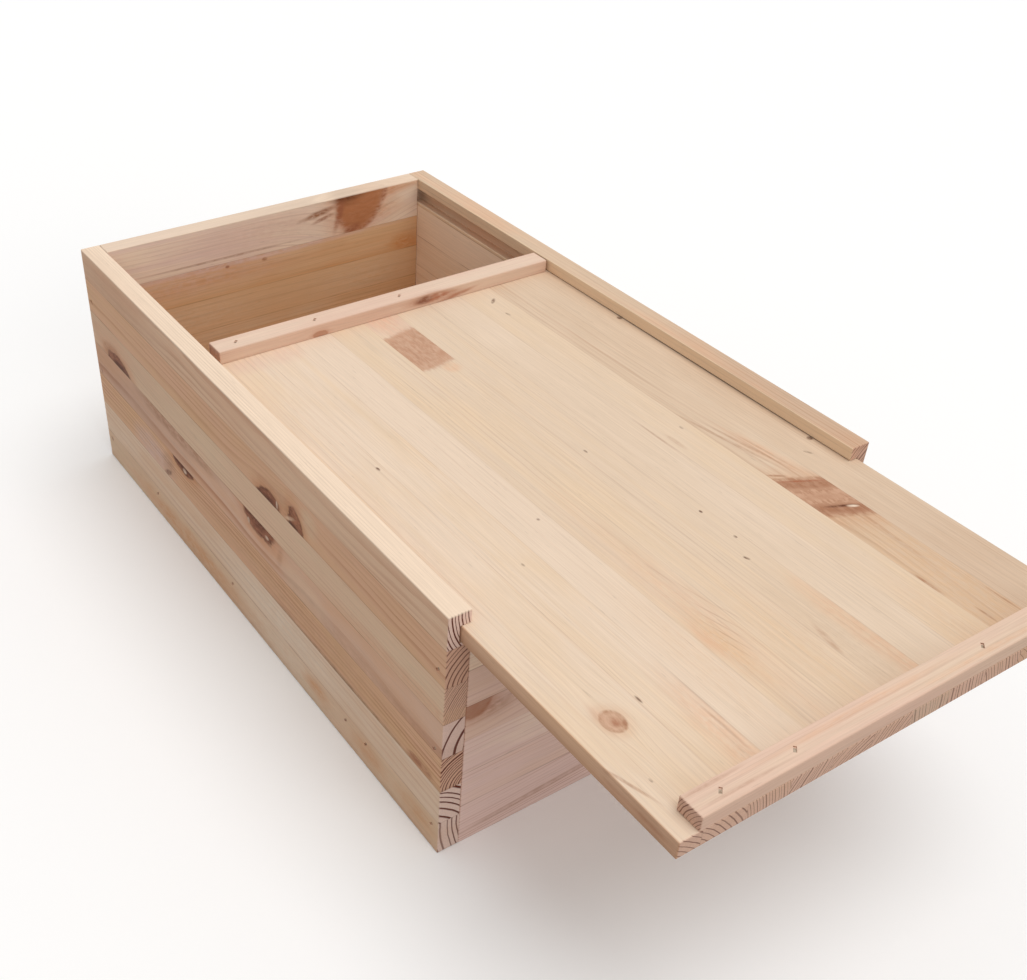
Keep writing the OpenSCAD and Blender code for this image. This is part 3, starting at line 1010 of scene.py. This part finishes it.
class PINEBOX_OT_lid_panel(bpy.types.Operator):
    """Planes the sliding lid"""

    bl_idname = "pinebox.lid_panel"
    bl_label = "Lid panel"

    def execute(self, context):
        lay_board("lid_panel", "lid", ALONG_Y, SIDE, LID_PANEL, seed=401.0, glue=0.18)
        return {"FINISHED"}


class PINEBOX_OT_lid_bars(bpy.types.Operator):
    """Planes the batten and the handle bar on the lid"""

    bl_idname = "pinebox.lid_bars"
    bl_label = "Lid bars"

    def execute(self, context):
        for i, (node, spec) in enumerate((("lid_batten", BATTEN), ("lid_handle_bar", HANDLE_BAR))):
            low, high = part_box(node)
            piece = planed_copy(node, low, high)
            seed = BAR_SEED + BAR_SEED_STEP * i
            material = pine_material(node + "_pine", spec, ALONG_X, UP, seed, joints=(), glue=0.0)
            dress(piece, node, "lid", material)
        return {"FINISHED"}


class PINEBOX_OT_brads(bpy.types.Operator):
    """Gives the brads their bare steel"""

    bl_idname = "pinebox.brads"
    bl_label = "Brads"

    def execute(self, context):
        material = steel_material()
        for node in STEEL_NODES:
            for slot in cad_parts[node].material_slots:
                slot.material = material
        return {"FINISHED"}


class PINEBOX_OT_stage(bpy.types.Operator):
    """Sets the floor, the soft light and the camera"""

    bl_idname = "pinebox.stage"
    bl_label = "Stage"

    def execute(self, context):
        settings = stage()
        add_floor(settings.floor_size, settings.floor_drop)
        context.scene.world = soft_room(settings.sky)
        add_light("ceiling_light", settings.ceiling, settings.softness, CEILING_TOWARDS)
        add_light("window_light", settings.window, settings.softness, WINDOW_TOWARDS)
        context.scene.camera = photo_camera(settings.lens)
        context.scene.view_settings.view_transform = "Standard"
        return {"FINISHED"}


def add_floor(size, drop):
    """A wide floor, that far below the box."""
    bpy.ops.object.select_all(action="DESELECT")
    bpy.ops.mesh.primitive_plane_add(size=size, location=(0, 0, 0))
    floor = bpy.context.active_object
    floor.name = "floor"
    bpy.ops.transform.translate(value=(0, 0, -drop))
    bpy.ops.object.transform_apply(location=True)
    floor.data.materials.append(floor_material())


def soft_room(sky):
    """Even light from all sides, before a white backdrop."""
    world = bpy.data.worlds.new("Soft room")
    world.use_nodes = True
    world.node_tree.nodes.clear()
    w = Wiring(world.node_tree)
    light = w.put("ShaderNodeBackground", SKY_COLOUR, sky)
    backdrop = w.put("ShaderNodeBackground", BACKDROP_COLOUR, 1.0)
    both = w.put("ShaderNodeMixShader", w.background_rays(), light.outputs[0], backdrop.outputs[0])
    output = w.put("ShaderNodeOutputWorld")
    w.feed(output.inputs["Surface"], both.outputs[0])
    return world


def photo_camera(lens):
    """The camera that took the photo."""
    bpy.ops.object.camera_add()
    camera = bpy.context.active_object
    camera.name = "photo_view"
    camera.data.lens = lens
    camera.data.sensor_width = CAMERA_SENSOR
    camera.data.shift_x, camera.data.shift_y = CAMERA_SHIFT
    camera.data.clip_start, camera.data.clip_end = CAMERA_REACH
    turn = (
        Matrix.Rotation(math.radians(CAMERA_HEADING), 4, "Z")
        @ Matrix.Rotation(math.radians(90 - CAMERA_DIP), 4, "X")
        @ Matrix.Rotation(math.radians(CAMERA_ROLL), 4, "Z")
    )
    camera.matrix_world = Matrix.Translation(CAMERA_PLACE) @ turn
    return camera


def add_light(name, power, softness, towards):
    """A soft light that shines from far away, from where that direction points."""
    turn = Vector(towards).to_track_quat("Z", "Y").to_euler()
    bpy.ops.object.light_add(type="SUN", location=towards, rotation=turn)
    lamp = bpy.context.active_object
    lamp.name = name
    lamp.data.energy = power
    lamp.data.angle = softness


def floor_material():
    """A white floor to the camera, that throws back no more light than a grey one."""
    made = bpy.data.materials.new("Floor")
    made.use_nodes = True
    w = Wiring(made.node_tree)
    surface = made.node_tree.nodes["Principled BSDF"]
    surface.inputs["Roughness"].default_value = 1.0
    surface.inputs["Specular IOR Level"].default_value = 0.0
    seen = w.mix(w.background_rays(), stage().bounce, stage().floor)
    w.feed(surface.inputs["Base Color"], seen)
    return made


class PINEBOX_PT_sidebar(bpy.types.Panel):
    """Lists the steps that finish the box"""

    bl_idname = "PINEBOX_PT_sidebar"
    bl_label = "Pine box"
    bl_space_type = "VIEW_3D"
    bl_region_type = "UI"
    bl_category = "Pine box"

    def draw(self, context):
        for step in STEPS:
            self.layout.operator(step.bl_idname)
        for settings in (wood(), steel(), stage()):
            column = self.layout.column()
            for name in settings.__annotations__:
                column.prop(settings, name)


STEPS = (
    PINEBOX_OT_side_boards,
    PINEBOX_OT_end_boards,
    PINEBOX_OT_bottom_board,
    PINEBOX_OT_lid_panel,
    PINEBOX_OT_lid_bars,
    PINEBOX_OT_brads,
    PINEBOX_OT_stage,
)
SETTINGS = {
    "pine_box_wood": PineBoxWood,
    "pine_box_steel": PineBoxSteel,
    "pine_box_stage": PineBoxStage,
}


def register():
    for settings in SETTINGS.values():
        bpy.utils.register_class(settings)
    for name, settings in SETTINGS.items():
        setattr(bpy.types.Scene, name, bpy.props.PointerProperty(type=settings))
    for step in (*STEPS, PINEBOX_PT_sidebar):
        bpy.utils.register_class(step)


def unregister():
    for step in reversed((*STEPS, PINEBOX_PT_sidebar)):
        bpy.utils.unregister_class(step)
    for name in SETTINGS:
        delattr(bpy.types.Scene, name)
    for settings in reversed(list(SETTINGS.values())):
        bpy.utils.unregister_class(settings)


def main():
    register()
    for step in STEPS:
        family, name = step.bl_idname.split(".")
        getattr(getattr(bpy.ops, family), name)()


if __name__ == "__main__":
    main()
